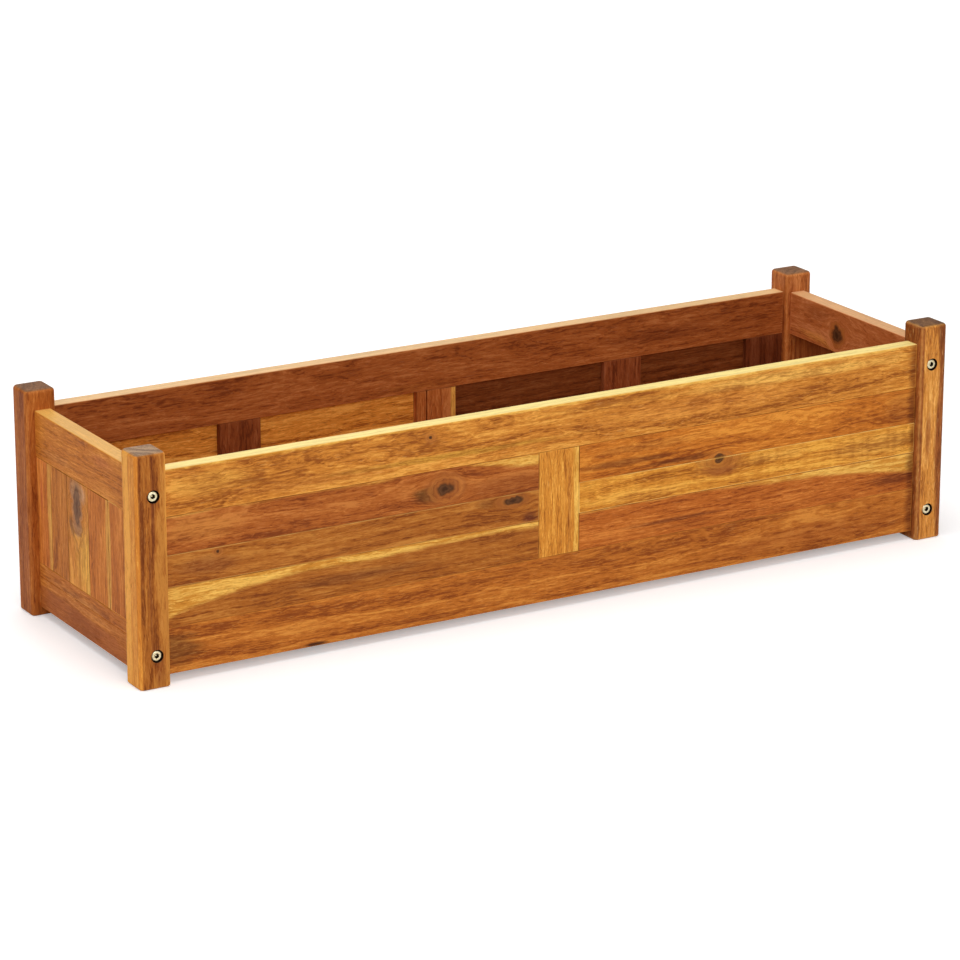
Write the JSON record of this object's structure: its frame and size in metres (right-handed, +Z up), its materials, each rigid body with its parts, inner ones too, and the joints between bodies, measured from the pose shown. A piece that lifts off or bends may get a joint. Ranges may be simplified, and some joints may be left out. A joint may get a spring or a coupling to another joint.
{
  "type": "raised wooden planter",
  "caption": "Long low planter of oiled acacia: square corner posts, framed walls of glued boards and a slatted floor on cleats, joined by corner bolts.",
  "frame": {"origin": "on the ground, in the middle of the footprint of the four posts", "axes": "+X along the length to the right, +Y to the back, +Z up"},
  "size_m": [1, 0.3, 0.25],
  "materials": {
    "acacia_posts": "oiled, satin, grain upright",
    "acacia_rails": "oiled, satin, grain lengthwise",
    "acacia_boards": "oiled, satin, grain lengthwise",
    "acacia_staves": "oiled, satin, grain upright",
    "acacia_stiles": "oiled, satin, grain upright",
    "acacia_floor": "oiled, satin, grain lengthwise",
    "brassed_bolts": "bright pale brass plating",
    "brass_inserts": "plain turned brass",
    "beech_dowels": "bare, smooth",
    "zinc_screws": "yellowish zinc plating"
  },
  "bodies": {
    "root": {"back_bottom_rail": "acacia_rails", "back_centre_stile": "acacia_stiles", "back_floor_cleat": "acacia_floor", "back_left_board_1": "acacia_boards", "back_left_board_2": "acacia_boards", "back_left_board_3": "acacia_boards", "back_left_end_batten": "acacia_stiles", "back_left_mid_batten": "acacia_stiles", "back_right_board_1": "acacia_boards", "back_right_board_2": "acacia_boards", "back_right_board_3": "acacia_boards", "back_right_end_batten": "acacia_stiles", "back_right_mid_batten": "acacia_stiles", "back_top_rail": "acacia_rails", "cleat_screws": "zinc_screws", "corner_bolts": "brassed_bolts", "floor_slat_1": "acacia_floor", "floor_slat_2": "acacia_floor", "floor_slat_3": "acacia_floor", "floor_slat_4": "acacia_floor", "floor_slat_5": "acacia_floor", "floor_slat_6": "acacia_floor", "floor_slat_7": "acacia_floor", "floor_slat_8": "acacia_floor", "front_bottom_rail": "acacia_rails", "front_centre_stile": "acacia_stiles", "front_floor_cleat": "acacia_floor", "front_left_board_1": "acacia_boards", "front_left_board_2": "acacia_boards", "front_left_board_3": "acacia_boards", "front_left_end_batten": "acacia_stiles", "front_left_mid_batten": "acacia_stiles", "front_right_board_1": "acacia_boards", "front_right_board_2": "acacia_boards", "front_right_board_3": "acacia_boards", "front_right_end_batten": "acacia_stiles", "front_right_mid_batten": "acacia_stiles", "front_top_rail": "acacia_rails", "left_end_bottom_rail": "acacia_rails", "left_end_stave_1": "acacia_staves", "left_end_stave_2": "acacia_staves", "left_end_stave_3": "acacia_staves", "left_end_stave_4": "acacia_staves", "left_end_stave_5": "acacia_staves", "left_end_top_rail": "acacia_rails", "post_back_left": "acacia_posts", "post_back_right": "acacia_posts", "post_front_left": "acacia_posts", "post_front_right": "acacia_posts", "rail_dowels": "beech_dowels", "right_end_bottom_rail": "acacia_rails", "right_end_stave_1": "acacia_staves", "right_end_stave_2": "acacia_staves", "right_end_stave_3": "acacia_staves", "right_end_stave_4": "acacia_staves", "right_end_stave_5": "acacia_staves", "right_end_top_rail": "acacia_rails", "slat_screws": "zinc_screws", "threaded_inserts": "brass_inserts"}
  },
  "joints": []
}
